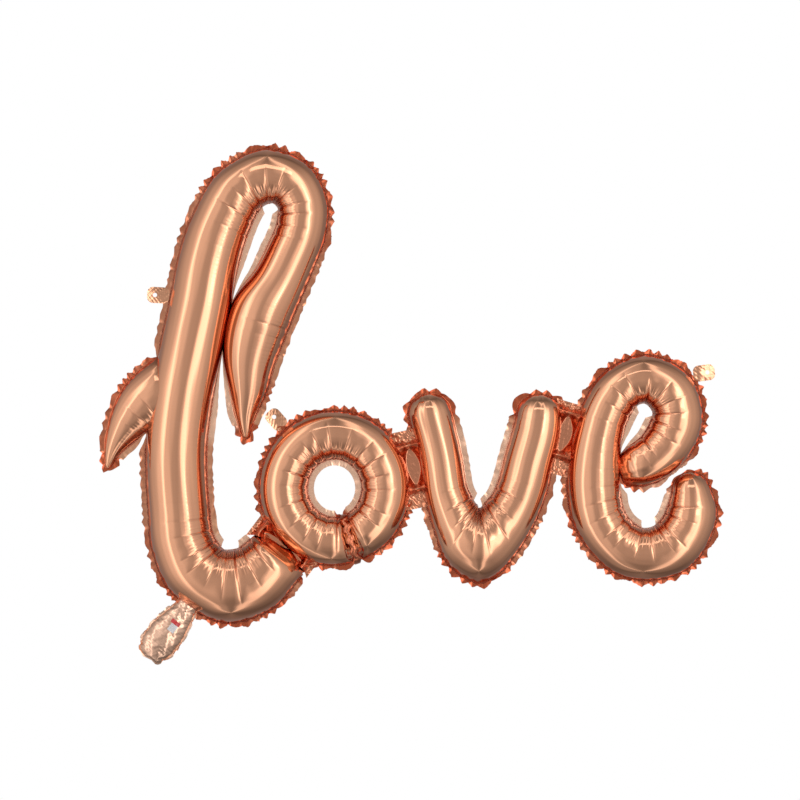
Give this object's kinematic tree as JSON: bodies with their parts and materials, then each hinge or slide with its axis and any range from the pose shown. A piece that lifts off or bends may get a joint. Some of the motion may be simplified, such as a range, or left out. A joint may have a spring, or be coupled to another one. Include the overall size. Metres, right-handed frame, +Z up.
{
  "type": "script letter foil balloon",
  "caption": "One-piece rose-gold foil balloon of four joined script letters, with hanging tabs and a self-sealing filling tail.",
  "frame": {"origin": "centre of the hanging hole in the tab beside the tall letter, in the seam plane of the two films", "axes": "+X along the word, +Z up as it hangs, -Y towards the person who reads it"},
  "size_m": [0.7374, 0.079, 0.6205],
  "materials": {
    "rose_gold_foil": "bright metallised rose-gold film with fine pleats at its seams",
    "tab_foil": "two welded metallised films, finely creased",
    "valve_film": "clear film with a plain red printed bar"
  },
  "bodies": {
    "letter_l": {"letter_l_front": "rose_gold_foil", "letter_l_back": "rose_gold_foil", "valve_inside_front": "valve_film", "valve_inside_back": "valve_film"},
    "letter_o": {"letter_o_front": "rose_gold_foil", "letter_o_back": "rose_gold_foil"},
    "letter_v": {"letter_v_front": "rose_gold_foil", "letter_v_back": "rose_gold_foil"},
    "letter_e": {"letter_e_front": "rose_gold_foil", "letter_e_back": "rose_gold_foil"},
    "tail": {"tail_front": "rose_gold_foil", "tail_back": "rose_gold_foil", "valve_mouth_front": "valve_film", "valve_mouth_back": "valve_film"},
    "tab_l": {"hanging_tab_l": "tab_foil"},
    "tab_o": {"hanging_tab_o": "tab_foil"},
    "tab_e": {"hanging_tab_e": "tab_foil"}
  },
  "joints": [
    {"name": "l_o_flex", "type": "hinge", "parent": "letter_l", "child": "letter_o", "pos_m": [0.1505, 0, -0.29675], "axis": [0.8, 0, -0.6], "range_deg": [-12, 12], "stiffness_Nm_per_rad": 0.06},
    {"name": "o_v_flex", "type": "hinge", "parent": "letter_o", "child": "letter_v", "pos_m": [0.30375, 0, -0.2025], "axis": [0.2066, 0, -0.9784], "range_deg": [-20, 20], "stiffness_Nm_per_rad": 0.04},
    {"name": "v_e_flex", "type": "hinge", "parent": "letter_v", "child": "letter_e", "pos_m": [0.481, 0, -0.16325], "axis": [-0.2863, 0, -0.9581], "range_deg": [-20, 20], "stiffness_Nm_per_rad": 0.03},
    {"name": "tail_fold", "type": "hinge", "parent": "letter_l", "child": "tail", "pos_m": [0.02977, 0, -0.3777], "axis": [0.788, 0, -0.6157], "range_deg": [-90, 100]},
    {"name": "tab_l_fold", "type": "hinge", "parent": "letter_l", "child": "tab_l", "pos_m": [0.01198, 0, -0.00063], "axis": [-0.0523, 0, -0.9986], "range_deg": [-80, 80]},
    {"name": "tab_o_fold", "type": "hinge", "parent": "letter_o", "child": "tab_o", "pos_m": [0.14813, 0, -0.15271], "axis": [-0.7547, 0, -0.6561], "range_deg": [-80, 80]},
    {"name": "tab_e_fold", "type": "hinge", "parent": "letter_e", "child": "tab_e", "pos_m": [0.63892, 0, -0.09282], "axis": [-0.1392, 0, 0.9903], "range_deg": [-80, 80]}
  ]
}
